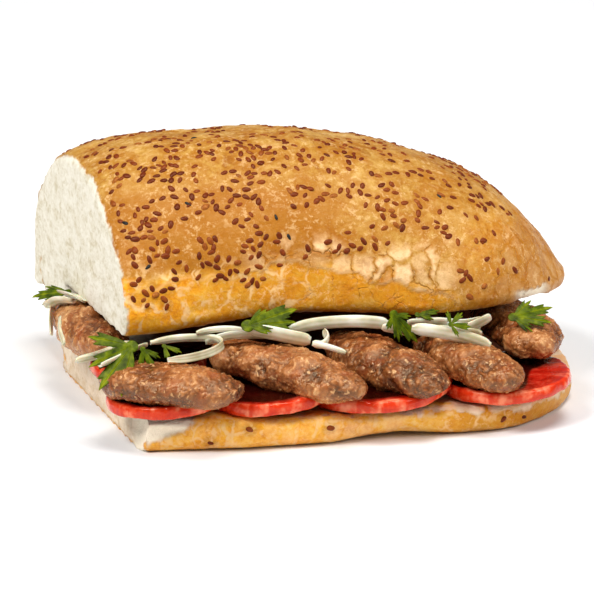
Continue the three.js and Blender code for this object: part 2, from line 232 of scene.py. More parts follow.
def base_ring(t, angle):
    u = along(t)
    back = np.sin(angle) >= 0
    up = np.cos(angle) >= 0
    bulge = BASE["swell"] * smooth(u / 0.25) * (1 - rising(u, 0.75, 0.25))
    to_back = (BASE["back_y"] - BASE["tip_y"]) * fullness(u, 0.3, 2.2)
    to_front = (BASE["tip_y"] - BASE["front_y"]) * fullness(u, 0.66, 2.6) + bulge
    half_width = np.where(back, to_back, to_front)
    height = mix(BASE["thick"], BASE["thin"], smooth(u / 0.5))
    waist = 0.66 * height
    belly = mix(4, 8, smooth(u / 0.25)) * (1 - 0.4 * u)
    out, rise = rounded_quarter(
        quarter_of(angle), half_width, np.where(up, height - waist, waist), np.where(up, BASE["brow"], belly))
    swell = np.where(out > half_width - 1, 0.9 * uneven(160 * u, 30 * angle, 0, 14, 3.3), 0)
    y = BASE["tip_y"] + np.where(back, out, -out - swell)
    lift = BASE["lift"] * hump(u, 0.54, 0.14) * (out / half_width) ** 4
    z = waist + np.where(up, rise, np.where(back, 0, lift) - rise)
    return np.stack([station_x(u, y, BASE["tip_x"]), y, z], axis=-1)


def hinge_ring(t, angle):
    u = HINGE["reach"] * t
    rise = (1 + power(np.cos(angle), 0.6)) / 2
    across = (1 + power(np.sin(angle), 0.6)) / 2
    spread = mix(HINGE["low_y"], HINGE["high_y"], rise ** 0.8) - TOP["tip_y"]
    outer = TOP["tip_y"] + spread * fullness(u, 0.25, 2.2)
    inner = mix(HINGE["cut_inner_y"], HINGE["inner_y"], smooth(u / 0.3)) + 3 * np.cos(math.pi * rise)
    y = mix(np.minimum(inner, outer - 4), outer, across)
    return np.stack([station_x(u, y, TOP["tip_x"]), y, mix(HINGE["low_z"], HINGE["high_z"], rise)], axis=-1)


def top_cut_x(p):
    return CUT["x"] - CUT["skew"] * p[:, 1]


def foot_cut_x(p):
    return FOOT["x"] - FOOT["skew"] * p[:, 1] - FOOT["lean"] * (BASE["thick"] - p[:, 2])


def ring_grid(t, around, start=0.0):
    """Every pair of the places t and `around` angles, a full turn from `start`."""
    angle = np.linspace(start, start + 2 * math.pi, around, endpoint=False)
    return np.meshgrid(t, angle, indexing="ij")


def tube(grid):
    """Points and faces of a closed tube from a grid of rings, with a fan at each end."""
    rings, around = grid.shape[:2]
    index = np.arange(rings * around).reshape(rings, around)
    turned = np.roll(index, -1, axis=1)
    sides = np.stack([index[:-1], turned[:-1], turned[1:], index[1:]], axis=-1).reshape(-1, 4)
    first, last = rings * around, rings * around + 1
    caps = [[first, b, a, a] for a, b in zip(index[0], turned[0])]
    caps += [[last, a, b, b] for a, b in zip(index[-1], turned[-1])]
    points = np.concatenate([grid.reshape(-1, 3), [grid[0].mean(axis=0), grid[-1].mean(axis=0)]])
    return points, [tuple(dict.fromkeys(face)) for face in np.concatenate([sides, caps]).tolist()]


def loaf_part(steps, around, ring, cut_x, crusty):
    """A tube along X through the sections that ring(t, angle) gives, cut flat at the knife's plane and at
    the table, and its crust: the faces that crusty(t, angle) names and the knife left."""
    t, angle = ring_grid(np.linspace(0, 1, steps + 1), around, -math.pi)
    points, faces = tube(ring(t, angle))
    points[:, 0] = np.maximum(points[:, 0], cut_x(points))
    points[:, 2] = np.maximum(points[:, 2], 0)
    uncut = points[:, 0] > cut_x(points) + 0.01
    named = crusty(t[:-1], angle[:-1]).ravel()
    crust = [face for face, kept in zip(faces, named) if kept and uncut[list(face)].any()]
    return (points, faces), (points, crust)


# Meshes

def view_back(azimuth, elevation):
    """Direction from the target toward a viewer at these angles."""
    a, e = math.radians(azimuth), math.radians(elevation)
    return Vector((math.sin(a) * math.cos(e), -math.cos(a) * math.cos(e), math.sin(e)))


def in_row_frame(points):
    return (points - LOAF_ORIGIN) * MM


def in_loaf_frame(points):
    return points / MM + LOAF_ORIGIN


def new_object(name, points, faces):
    """A smooth-shaded object from points in millimetres in the loaf's frame."""
    mesh = bpy.data.meshes.new(name)
    mesh.from_pydata(in_row_frame(points).tolist(), [], faces)
    mesh.polygons.foreach_set("use_smooth", [True] * len(mesh.polygons))
    mesh.update()
    obj = bpy.data.objects.new(name, mesh)
    bpy.context.scene.collection.objects.link(obj)
    return obj


def joined(parts):
    """Points and faces of several meshes as one."""
    starts = np.cumsum([0] + [len(points) for points, _ in parts])
    faces = [tuple(i + start for i in face) for start, (_, part) in zip(starts, parts) for face in part]
    return np.concatenate([points for points, _ in parts]), faces


def fuse(obj, voxel, rounds):
    """Turns closed parts into one even skin with faces of `voxel` millimetres, relaxed `rounds` times."""
    skin = obj.modifiers.new("skin", "REMESH")
    skin.mode = "VOXEL"
    skin.voxel_size = voxel * MM
    skin.use_smooth_shade = True
    relax = obj.modifiers.new("relax", "SMOOTH")
    relax.factor = 0.5
    relax.iterations = rounds
    result = bpy.data.meshes.new_from_object(obj.evaluated_get(bpy.context.evaluated_depsgraph_get()))
    obj.modifiers.clear()
    old, obj.data = obj.data, result
    bpy.data.meshes.remove(old)


def read(obj, key):
    values = np.empty(len(obj.data.vertices) * 3)
    obj.data.vertices.foreach_get(key, values)
    return values.reshape(-1, 3)


def points_of(obj):
    return in_loaf_frame(read(obj, "co"))


def raise_skin(obj, height):
    """Moves every point along its normal by `height` millimetres."""
    moved = read(obj, "co") + read(obj, "normal") * (height * MM)[:, None]
    obj.data.vertices.foreach_set("co", moved.ravel())
    obj.data.update()


def paint(obj, name, values):
    layer = obj.data.attributes.new(name, "FLOAT", "POINT")
    layer.data.foreach_set("value", np.asarray(values, np.float32))


def wear(obj, finish):
    obj.data.materials.clear()
    obj.data.materials.append(finish.material)


def distance_to(points, surface_points, surface_faces):
    """Distance in millimetres from each point to a surface."""
    tree = BVHTree.FromPolygons(surface_points.tolist(), surface_faces)
    return np.array([tree.find_nearest(Vector(p))[3] for p in points.tolist()])


# Materials

def colour(red, green, blue):
    """A colour as a screen shows it, 0 to 255, for a shader."""
    def linear(v):
        v /= 255
        return v / 12.92 if v <= 0.04045 else ((v + 0.055) / 1.055) ** 2.4
    return (linear(red), linear(green), linear(blue), 1.0)


WARM_SHINE = colour(255, 232, 190)


class Finish:
    """A material whose nodes are added by short calls. Texture sizes are in millimetres."""

    def __init__(self, name, **shader):
        self.material = bpy.data.materials.new(name)
        self.material.use_nodes = True
        self.tree = self.material.node_tree
        self.shader = self.tree.nodes["Principled BSDF"]
        self.where = self.add("TexCoord").outputs["Object"]
        for key, value in shader.items():
            self.shader.inputs[key.replace("_", " ")].default_value = value

    def add(self, kind, inputs=None, **settings):
        node = self.tree.nodes.new("ShaderNode" + kind)
        for key, value in settings.items():
            setattr(node, key, value)
        for key, value in (inputs or {}).items():
            self.give(node.inputs[key], value)
        return node

    def give(self, socket, value):
        if isinstance(value, bpy.types.NodeSocket):
            self.tree.links.new(value, socket)
        else:
            socket.default_value = value

    def painted(self, name, share=1.0):
        """A painted layer, times `share`."""
        return self.times(self.add("Attribute", attribute_name=name).outputs["Fac"], share)

    def vector(self, operation, a, b):
        second = "Scale" if operation == "SCALE" else 1
        return self.add("VectorMath", {0: a, second: b}, operation=operation).outputs["Vector"]

    def warped(self, size, amount):
        """The texture's place pushed about by up to `amount` millimetres, over blobs of `size`."""
        push = self.add("TexNoise", {"Vector": self.where, "Scale": 1 / (size * MM), "Detail": 2.0})
        centred = self.vector("SUBTRACT", push.outputs["Color"], (0.5, 0.5, 0.5))
        return self.vector("ADD", self.where, self.vector("SCALE", centred, 2 * amount * MM))

    def stretched(self, factors, where):
        return self.vector("MULTIPLY", where, factors)

    def noise(self, size, detail=3.0, roughness=0.55, distortion=0.0, where=None):
        inputs = {"Vector": where or self.where, "Scale": 1 / (size * MM), "Detail": detail,
                  "Roughness": roughness, "Distortion": distortion}
        return self.add("TexNoise", inputs).outputs["Fac"]

    def cells(self, size, feature="F1", where=None, output="Distance"):
        inputs = {"Vector": where or self.where, "Scale": 1 / (size * MM)}
        return self.add("TexVoronoi", inputs, feature=feature).outputs[output]

    def math(self, operation, a, b=0.0):
        return self.add("Math", {0: a, 1: b}, operation=operation).outputs["Value"]

    def times(self, value, *factors):
        for factor in factors:
            value = self.math("MULTIPLY", value, factor)
        return value

    def most(self, value, *others):
        for other in others:
            value = self.math("MAXIMUM", value, other)
        return value

    def sum_of(self, *parts):
        """The sum of (value, share) parts."""
        total = 0.0
        for value, share in parts:
            total = self.math("ADD", self.times(value, share), total)
        return total

    def fit(self, value, low, high, to_low=0.0, to_high=1.0):
        inputs = {"Value": value, "From Min": low, "From Max": high, "To Min": to_low, "To Max": to_high}
        return self.add("MapRange", inputs, interpolation_type="SMOOTHSTEP").outputs["Result"]

    def ramp(self, value, *stops):
        """Colours by value: stops are (value, red, green, blue)."""
        node = self.add("ValToRGB", {"Fac": value})
        elements = node.color_ramp.elements
        for element, (position, *shade) in zip(elements, stops):
            element.position, element.color = position, colour(*shade)
        for position, *shade in stops[2:]:
            elements.new(position).color = colour(*shade)
        return node.outputs["Color"]

    def blend(self, share, a, b):
        node = self.add("Mix", {0: share}, data_type="RGBA")
        for socket, value in zip([s for s in node.inputs if s.type == "RGBA"], (a, b)):
            self.give(socket, value)
        return next(s for s in node.outputs if s.type == "RGBA")

    def feed(self, key, value):
        self.tree.links.new(value, self.shader.inputs[key])

    def bump(self, *layers):
        """Relief from (height value, millimetres) layers."""
        normal = None
        for height, depth in layers:
            inputs = {"Height": height, "Distance": depth * MM, "Strength": 1.0}
            if normal is not None:
                inputs["Normal"] = normal
            normal = self.add("Bump", inputs).outputs["Normal"]
        self.feed("Normal", normal)


# Loaf: three tubes fused into one skin

def facing_out(t, angle, from_u):
    """The front, and the back too from some way along."""
    return (np.sin(angle) < 0) | (along(t) > from_u)


def top_crusty(t, angle):
    return (np.cos(angle) >= 0) | ((quarter_of(angle) > 0.5) & facing_out(t, angle, 0.02))


def base_crusty(t, angle):
    return (np.cos(angle) < 0) | ((quarter_of(angle) > 0.3) & facing_out(t, angle, 0.8))


def hinge_crusty(t, angle):
    return np.sin(angle) > 0.3


loaf_parts = [
    loaf_part(170, 220, top_ring, top_cut_x, top_crusty),
    loaf_part(140, 200, base_ring, foot_cut_x, base_crusty),
    loaf_part(80, 90, hinge_ring, top_cut_x, hinge_crusty),
]
loaf = new_object("loaf", *joined([part for part, _ in loaf_parts]))
fuse(loaf, LOAF_VOXEL, 3)
place = points_of(loaf)
depth = distance_to(place, *joined([crust for _, crust in loaf_parts]))
x, y, z = place.T
upper = rising(z, 24, 4)
lower = 1 - upper
cut_gap = x - np.where(z > 18, top_cut_x(place), foot_cut_x(place))
on_cut = falling(cut_gap, 1.2, 0.8)

# White crumb shows past the crust's thickness, where the base's crust is torn at the front corner of the
# cut and along its rim, and where the top's lower edge is torn at the round end. The rim is torn down to
# these heights along the loaf.
RIM_X = (-12, 20, 44, 56, 70)
RIM_LOW_Z = (10.8, 10, 9, 7.6, 5.8)
ragged = grain(place, 4, 12, 3)
corner_end = mix(-63, -46, rising(z, 2, 8)) + 2.5 * ragged
torn_corner = falling(y, -30, 6) * lower * falling(x, corner_end, 1.5)
rim_gap = z - np.interp(x, RIM_X, RIM_LOW_Z) - 1.4 * ragged
torn_rim = lower * smooth(rim_gap / 0.8) * rising(x, -14, 12) * falling(y, 30, 8)
edge_gap = 40 + 1.4 * ragged - z
torn_edge = upper * smooth(edge_gap / 0.8) * rising(x, 73, 5) * falling(x, 92, 5) * falling(y, 14, 6)
# Painted light: these torn patches are also painted brighter than the other crumb
torn_with_painted_light = np.maximum(torn_corner, torn_edge)
crust_depth = mix(0.9, 0.35, on_cut) + mix(0.5, 0.3, on_cut) * ragged
flaked_cut = upper * smooth((0.4 + 0.7 * rising(z, 52, 24) + 0.8 * ragged - cut_gap) / 0.6)
hinge_end = rising(x, 75, 2) * rising(y, 24, 4) * rising(z, 11, 2) * falling(z, 36, 3)
inside = smooth((depth - crust_depth) / mix(0.9, 0.4, on_cut)) * (1 - hinge_end)
crumb = most(inside, flaked_cut, torn_rim, torn_with_painted_light)
crust = 1 - crumb

# Painted shade darkens the crumb behind the front of the pocket, where the top shades it, and juices tint the
# torn rim and the base's cut end
pocket = rising(z, 7.5, 2) * falling(z, 40, 3) * rising(y, -34, 8) * falling(y, 44, 8) * (1 - on_cut)
painted_pocket_shade = pocket * crumb * mix(1, 0.15, rising(x, 81, 8)) * (1 - torn_with_painted_light)
tinted = np.maximum(torn_rim * (0.45 + 0.4 * smooth(0.5 + ragged)), 0.26 * on_cut * falling(z, 16, 9))

# The upper skin ends in a ragged lip low on the front: its height along the loaf, over a smooth amber band
LIP_X = (-75, -40, -7, 7, 20, 35, 48, 58)
LIP_Z = (52, 50.5, 55, 53, 48.5, 45, 40, 33)
on_front = falling(y, 24, 20) * upper
lip = z - np.interp(x, LIP_X, LIP_Z) - 1.6 * grain(place, 7, 14, 2)
above_lip = smooth(lip / 0.9)
amber = on_front * smooth(1 - lip / 5) * falling(x, 62, 10)
flaky = on_front * above_lip * rising(x, -26, 14) * falling(x, 56, 16)
flaky = flaky * smooth((66 - z + 5 * grain(place, 12, 18)) / 9)
round_end = rising(x, 42, 30) * upper * falling(z, 72, 16)

# Relief of the crust: broad dents, blisters, and the lip's step over the amber band
bent = place + 2 * grain_vector(place, 10, (3, 4, 5), 3)
blister_near, blister_next, blister_tone = pebbles(bent, 4.4, 27)
blistered = rising(grain(place, 15, 28, 2), 0.05, 0.4)
dents = 0.4 * grain(place, 17, 6, 2) + 0.14 * grain(place, 5, 7, 2)
blisters = 0.2 * blistered * blister_tone * smooth((blister_next - blister_near) / 0.3)
step = 0.5 * (above_lip - 1) * on_front * falling(x, 66, 12) * rising(x, -25, 20)
crust_relief = (dents + blisters + step) * (0.9 + 0.1 * upper)
pits = -0.16 * falling(pebbles(place, 2.2, 17)[0], 0.4, 0.3)
crumb_relief = 0.16 * grain(place, 5, 15, 3) + pits
torn_back = -0.9 * torn_with_painted_light - 0.4 * torn_rim
resting = smooth(z / 1.2)
raise_skin(loaf, resting * (crust * crust_relief + crumb * crumb_relief + torn_back))

# Painted shade: the front slope of the top is painted darker, as shade falls there
front_painted_shade = upper * falling(y, 14, 16) * rising(z, 50, 8) * falling(z, 86, 10) * falling(x, 30, 30)
deep_top = most(0.6 * amber * rising(x, -62, 40), 0.4 * upper * rising(x, 25, 30), 0.9 * round_end)
# Painted light: the base's crust toward the cut end is painted lighter, where the top's overhang shades it
painted_light_on_base = lower * falling(x, 50, 20) * (0.2 + 0.3 * rising(x, -30, 30))
netted_front = on_front * falling(x, 14, 24) * falling(z, 62, 10)
loaf_layers = {
    "crumb": crumb,
    "painted_pocket_shade": painted_pocket_shade,
    "tinted": tinted,
    "torn_with_painted_light": torn_with_painted_light,
    "amber": most(amber, 0.88 * lower, 0.5 * round_end),
    "deep_toast_and_painted_shade": most(deep_top, front_painted_shade, 0.6 * lower * rising(x, 30, 25)),
    # the plates' light colour also carries the painted light on the base
    "flaky": most(flaky, 0.2 * round_end, painted_light_on_base),
    "cracked": most(flaky, 0.7 * amber * rising(x, -20, 20), 0.6 * round_end),
    "netted": np.maximum(netted_front, 0.9 * lower * falling(x, 80, 30)),
    "lip_edge": hump(lip, 0.6, 0.9) * on_front * falling(x, 66, 12),
}
for name, values in loaf_layers.items():
    paint(loaf, name, values)

# Crust: golden with fine light specks, partly painted glints, and toasted patches, with painted shade on the
# front slope and round each seed, and overlapping plates with thin cracks between them low on the front and
# at the round end
TOAST_AND_SHADE_BROWN = colour(164, 96, 8)
bread = Finish("bread", Specular_IOR_Level=0.3, Specular_Tint=WARM_SHINE)
mottle = bread.noise(2.4, 4, 0.75, 0.4)
tone = bread.sum_of((bread.noise(12, 3, 0.55), 0.45), (mottle, 0.55))
crust_colour = bread.ramp(
    tone, (0.36, 152, 90, 18), (0.45, 176, 122, 42), (0.54, 194, 146, 68), (0.66, 212, 170, 102))
amber_colour = bread.ramp(
    tone, (0.36, 228, 136, 10), (0.48, 248, 168, 28), (0.58, 253, 188, 60), (0.7, 253, 210, 112))
toast_and_painted_shade_share = bread.times(bread.fit(bread.noise(7, 3, 0.5, 0.5), 0.5, 0.66), 0.5)
crust_colour = bread.blend(toast_and_painted_shade_share, crust_colour, TOAST_AND_SHADE_BROWN)
crust_colour = bread.blend(bread.painted("amber", 0.9), crust_colour, amber_colour)
# Painted shade on the front slope and round each seed, together with the real toasting at the round end and
# on the base
toast_and_painted_shade_share = bread.most(bread.painted("deep_toast_and_painted_shade", 0.8), bread.painted("painted_seed_shade", 0.5))
crust_colour = bread.blend(toast_and_painted_shade_share, crust_colour, TOAST_AND_SHADE_BROWN)

plates_at = bread.stretched((1.0, 0.9, 0.6), bread.warped(4, 2.4))
plate_edge = bread.cells(7, "DISTANCE_TO_EDGE", plates_at)
plate_tone = bread.fit(bread.cells(7, "F1", plates_at, "Color"), 0.3, 0.6)
plate_share = bread.times(bread.fit(plate_tone, 0.0, 1.0, 0.25, 1.0), bread.fit(plate_edge, 0.0, 0.2),
                          bread.fit(mottle, 0.4, 0.6, 0.7, 1.0), bread.painted("flaky"))
crust_colour = bread.blend(plate_share, crust_colour, colour(247, 206, 154))
crack = bread.times(bread.fit(plate_edge, 0.05, 0.0), bread.painted("cracked"),
                    bread.fit(bread.noise(5, 2), 0.4, 0.6))
crust_colour = bread.blend(bread.times(crack, 0.6), crust_colour, colour(172, 94, 20))

# Light specks on the crust, partly real and partly painted glints of light
flecks_and_painted_glints = bread.times(bread.fit(bread.noise(1.9, 4, 0.75, 0.3), 0.5, 0.64),
                     bread.fit(bread.noise(11, 2), 0.38, 0.62, 0.15, 0.48))
light_net = bread.times(bread.fit(plate_edge, 0.11, 0.02), bread.painted("netted"),
                        bread.fit(bread.noise(4, 3), 0.42, 0.58), 0.75)
flecks_and_painted_glints = bread.most(flecks_and_painted_glints, light_net, bread.painted("lip_edge", 0.4))
crust_colour = bread.blend(flecks_and_painted_glints, crust_colour, colour(242, 202, 144))
crumb_at = bread.stretched((1.0, 0.6, 1.0), bread.warped(5, 2))
crumb_cells = bread.sum_of((bread.noise(1.7, 4, 0.65, where=crumb_at), 0.55),
                           (bread.noise(5, 3, 0.6, where=crumb_at), 0.45))
crumb_colour = bread.ramp(crumb_cells, (0.38, 208, 196, 168), (0.47, 226, 218, 198), (0.58, 238, 232, 216))
crumb_colour = bread.blend(bread.painted("tinted"), crumb_colour, colour(238, 176, 112))
# Painted light: the torn crumb is painted near white
crumb_colour = bread.blend(bread.painted("torn_with_painted_light"), crumb_colour, colour(255, 242, 216))
# Painted shade: the crumb inside the pocket is painted dark brown
crumb_colour = bread.blend(bread.painted("painted_pocket_shade"), crumb_colour, colour(92, 44, 26))
bread.feed("Base Color", bread.blend(bread.painted("crumb"), crust_colour, crumb_colour))
bread.feed("Roughness", bread.fit(bread.painted("crumb"), 0.0, 1.0, 0.42, 0.85))
plate_height = bread.times(bread.math("SUBTRACT", plate_tone, crack), bread.painted("cracked"))
pores = bread.times(crumb_cells, bread.painted("crumb"))
bread.bump((plate_height, 0.35), (mottle, 0.35), (pores, 0.6), (bread.noise(0.9, 3, 0.6), 0.16))
wear(loaf, bread)
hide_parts("bread")
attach(loaf, "root")


# Scattered seeds

def seed_shape(length, width, height, point):
    """A flat drop lying along X, blunt at one end and pointed at the other."""
    t, angle = ring_grid(np.linspace(0.02, 0.98, 9), 10)
    swell = np.sqrt(1 - (2 * t - 1) ** 2) * (1 - point * t)
    across = swell * np.cos(angle) * width / 2
    return tube(np.stack([(t - 0.5) * length, across, swell * np.sin(angle) * height / 2], axis=-1))


def scatter(name, shape, spots, normals, rng, sink, tilt):
    """One mesh of copies of a shape, each lying on its spot, turned and sized at random."""
    points, faces = shape
    copies = []
    tones = []
    for spot, normal in zip(spots, normals):
        ahead = unit(np.cross(normal, rng.normal(size=3)))
        ahead = unit(ahead + normal * rng.normal() * tilt)
        side = unit(np.cross(normal, ahead))
        turn = np.stack([ahead, side, np.cross(ahead, side)])
        size = rng.uniform(0.82, 1.12) * np.array([1, rng.uniform(0.9, 1.1), 1])
        copies.append(((points * size) @ turn + spot - normal * sink, faces))
        tones.append(np.full(len(points), rng.uniform()))
    obj = new_object(name, *joined(copies))
    paint(obj, "tone", np.concatenate(tones))
    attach(obj, "root")
    return obj


skin_points = points_of(loaf)
skin_tree = BVHTree.FromPolygons(skin_points.tolist(), [tuple(face.vertices) for face in loaf.data.polygons])
rng = np.random.default_rng(5)

# Length, width, height and taper of a seed, and how many sesame seeds lie how far apart
SESAME_SIZE = (3.2, 2.15, 1.35, 0.25)
CUMIN_SIZE = (2.7, 1.5, 1.4, 0.4)
SESAME_COUNT = 660
SESAME_GAP = 1.9

# How low on the front the sesame reaches, and how thickly it lies, along the loaf
SESAME_X = (-75, -45, -15, 5, 30, 60, 75, 95)
SESAME_LOW_Z = (44, 45, 49, 57, 62, 60, 62, 60)
SESAME_THICK = (1.0, 1.0, 0.95, 0.75, 0.5, 0.42, 0.5, 0.3)


def spread_seeds(count, gap, wanted):
    """Spots and normals on the top's crust, `gap` apart, kept where wanted(point, angle) beats a random
    draw."""
    spots, normals = [], []
    while len(spots) < count:
        t = rng.uniform(0.02, 0.97)
        angle = rng.uniform(-1.5, 1.35)
        point = top_ring(np.array(t), np.array(angle))
        if rng.uniform() > wanted(point, angle) or point[0] + CUT["skew"] * point[1] < CUT["x"] + 3:
            continue
        hit, normal, _, _ = skin_tree.find_nearest(Vector(point))
        hit = np.array(hit)
        if spots and np.min(np.linalg.norm(np.array(spots) - hit, axis=1)) < gap:
            continue
        spots.append(hit)
        normals.append(np.array(normal))
    return spots, normals


def sesame_wanted(point, angle):
    lowest = np.interp(point[0], SESAME_X, SESAME_LOW_Z)
    low = smooth((point[2] - lowest) / 7 + 0.5) if angle < 0 else 1.0
    behind = mix(1.0, 0.12, rising(angle, 0.25, 0.7))
    clumps = clamp01(0.5 + 1.1 * grain(point[None], 7, 33, 2)[0])
    return low * behind * clumps * np.interp(point[0], SESAME_X, SESAME_THICK)


def seen_at(pixels):
    """Spots and normals where the camera sees the loaf at pixels of the photograph."""
    back = np.array(view_back(CAMERA["azimuth"], CAMERA["elevation"]))
    right = np.array([-back[1], back[0], 0]) / math.hypot(back[0], back[1])
    up = np.cross(back, right)
    start = np.array(CAMERA["target"]) + back * CAMERA["distance"]
    focal = CAMERA["scale"] * CAMERA["distance"]
    spots, normals = [], []
    for column, row in pixels:
        ray = -back + right * (column - IMAGE_SIZE / 2) / focal - up * (row - IMAGE_SIZE / 2) / focal
        hit, normal, _, _ = skin_tree.ray_cast(Vector(start), Vector(ray))
        spots.append(np.array(hit))
        normals.append(np.array(normal))
    return spots, normals


# Seeds placed where the photograph shows them, as (column, row): sesame low on the round end and on the
# base's side, and black cumin
ROUND_END_SEED_PIXELS = [
    (458, 242), (476, 240), (483, 241), (487, 259), (503, 262), (498, 271), (461, 271), (466, 273),
    (470, 278), (463, 280), (515, 270), (485, 286), (470, 297), (549, 279)]
BASE_SEED_PIXELS = [(210, 443), (250, 430), (503, 420), (524, 417), (330, 428)]
CUMIN_PIXELS = [(188, 204), (125, 223), (276, 217), (289, 237), (148, 267), (194, 138), (439, 196)]

sesame_spots, sesame_normals = spread_seeds(SESAME_COUNT, SESAME_GAP, sesame_wanted)
placed_spots, placed_normals = seen_at(ROUND_END_SEED_PIXELS + BASE_SEED_PIXELS)
sesame_spots += placed_spots
sesame_normals += placed_normals
sesame = scatter("sesame", seed_shape(*SESAME_SIZE), sesame_spots, sesame_normals, rng, 0.2, 0.14)
sesame_finish = Finish("sesame", Roughness=0.4, Specular_IOR_Level=0.25, Specular_Tint=WARM_SHINE)
sesame_tone = sesame_finish.painted("tone")
sesame_colour = sesame_finish.ramp(
    sesame_tone, (0.0, 92, 28, 4), (0.45, 126, 48, 8), (0.8, 154, 72, 18), (1.0, 188, 112, 40))
sesame_colour = sesame_finish.blend(sesame_finish.noise(0.9, 2), sesame_colour, colour(90, 28, 4))
sesame_finish.feed("Base Color", sesame_colour)
wear(sesame, sesame_finish)

# Painted shade: the crust is painted darker close round each seed, where the seeds shade it
seed_tree = KDTree(len(sesame_spots))
for number, spot in enumerate(sesame_spots):
    seed_tree.insert(Vector(spot), number)
seed_tree.balance()
seed_gap = np.array([seed_tree.find(Vector(p))[2] for p in skin_points.tolist()])
paint(loaf, "painted_seed_shade", falling(seed_gap, 3.4, 1.6))

cumin = scatter("black_cumin", seed_shape(*CUMIN_SIZE), *seen_at(CUMIN_PIXELS), rng, 0.1, 0.1)
cumin_finish = Finish("black_cumin", Roughness=0.5, Specular_IOR_Level=0.3)
cumin_finish.feed("Base Color", cumin_finish.ramp(
    cumin_finish.noise(0.7, 2), (0.4, 14, 12, 10), (0.6, 34, 30, 26)))
wear(cumin, cumin_finish)


# Patties

def placed(points, at, yaw=0.0, pitch=0.0):
    """Points turned in plan by yaw after pitch lowered their front end, and moved to `at`."""
    turn = Matrix.Rotation(math.radians(yaw), 3, "Z") @ Matrix.Rotation(math.radians(pitch), 3, "Y")
    return points @ np.array(turn).T + np.array(at)


# The last figure of each patty lightens or darkens all of it, painted light and shade that evens out how the
# lights fall
PATTIES = [
    {"at": (-70.5, 22, 24.6), "yaw": 98, "pitch": 2, "size": (60, 21, 16), "seed": 1.1, "painted_light": 0.2},
    {"at": (-53, -43.5, 23), "yaw": -30, "size": (51.5, 24, 13.8), "seed": 2.3, "painted_light": 0},
    {"at": (-12, -36, 23.2), "yaw": -45, "pitch": 4, "size": (63, 22.5, 15), "seed": 3.2, "painted_light": 0.07},
    {"at": (23, -35, 22.4), "yaw": -63, "pitch": 4, "size": (57, 22.5, 15), "seed": 4.7, "painted_light": -0.1},
    {"at": (51.5, -36, 22), "yaw": -66, "pitch": 3, "size": (52, 22, 14), "seed": 5.9, "painted_light": 0},
    {"at": (78, -8, 24.4), "yaw": -86, "size": (56, 26, 14.5), "seed": 6.4, "painted_light": 0.1},
]


def patty_shape(spec):
    t, angle = ring_grid(np.linspace(0.01, 0.99, 90), 60)
    ahead = -np.cos(t * math.pi)
    radius = np.sqrt(1 - ahead * ahead)
    up, out = radius * np.sin(angle), radius * np.cos(angle)
    length, width, height = (v / 2 for v in spec["size"])
    lump = 1 + 0.035 * uneven(ahead * length, up * height, -out * width, 9, spec["seed"])
    blunt = (1 - np.abs(ahead) ** 2.5) ** (1 / 2.5) / radius
    grid = np.stack([ahead * length, out * width * blunt * lump, up * height * blunt * lump], axis=-1)
    points, faces = tube(grid)
    return placed(points, spec["at"], spec.get("yaw", 0), spec.get("pitch", 0)), faces


meat = Finish("meat", Specular_IOR_Level=0.75, Specular_Tint=WARM_SHINE)
# Painted shade: the meat is painted darker in its crevices and lighter on its bulges
meat_tone_and_painted_shade = meat.sum_of((meat.painted("bulge"), 0.6), (meat.noise(1.8, 4, 0.75), 0.4))
meat_colour = meat.ramp(
    meat_tone_and_painted_shade, (0.2, 62, 24, 6), (0.38, 126, 68, 30), (0.55, 172, 106, 56), (0.78, 214, 160, 106))
rosy = meat.times(meat.fit(meat.noise(6, 3), 0.5, 0.66), 0.35)
meat_colour = meat.blend(rosy, meat_colour, colour(162, 74, 36))
char = meat.times(meat.fit(meat.noise(12, 2, 0.5), 0.52, 0.7), 0.35)
meat_colour = meat.blend(char, meat_colour, colour(84, 40, 14))
# Light specks of fat, partly real and partly painted glints of light
fat_and_painted_glints = meat.times(meat.fit(meat.noise(1.7, 2, 0.5, 0.4), 0.61, 0.69), 0.6)
meat.feed("Base Color", meat.blend(fat_and_painted_glints, meat_colour, colour(228, 178, 122)))
meat.feed("Roughness", meat.fit(meat.noise(2.6, 3), 0.35, 0.65, 0.16, 0.46))
meat.bump((meat.cells(1.5, where=meat.warped(2, 0.9)), -0.2), (meat.noise(0.9, 3, 0.65), 0.26))

for number, spec in enumerate(PATTIES, 1):
    patty = new_object(f"patty_{number}", *patty_shape(spec))
    fuse(patty, PATTY_VOXEL, 2)
    place = points_of(patty) + 100 * number
    pushed = place + 1.1 * grain_vector(place, 3.5, (2, 3, 4), 2)
    coarse_near, coarse_next, coarse_tone = pebbles(pushed, 3.6, 51)
    fine_near, fine_next, _ = pebbles(pushed, 1.8, 52)
    coarse = smooth((coarse_next - coarse_near) / 0.7) * (0.4 + 0.6 * coarse_tone)
    fine = smooth((fine_next - fine_near) / 0.7)
    lumps = grain(place, 9, 5, 3)
    raise_skin(patty, 0.8 * lumps + 0.5 * coarse + 0.3 * fine - 0.55)
    # Painted shade in the crevices and painted light on the bulges
    paint(patty, "bulge", clamp01(0.2 + spec["painted_light"] + 0.4 * coarse + 0.26 * fine + 0.2 * lumps))
    wear(patty, meat)
    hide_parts(f"kofte_{number}")
    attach(patty, "root")


# Tomato slices

TOMATOES = [
    {"at": (-52, 7, 15.2), "size": (40, 36, 4.4), "seed": 0.7},
    {"at": (-52, -33, 16), "size": (41, 38, 4.6), "pitch": -4, "seed": 1.9},
    {"at": (-18, -34, 15.2), "size": (40, 40, 4.8), "pitch": -4, "seed": 3.1},
    {"at": (21, -32, 14.4), "size": (50, 49, 4.8), "pitch": -4, "seed": 4.4},
    {"at": (66, -33, 14), "size": (46, 46, 4.8), "pitch": -3.5, "seed": 5.2},
]
SLICE_RINGS = 24


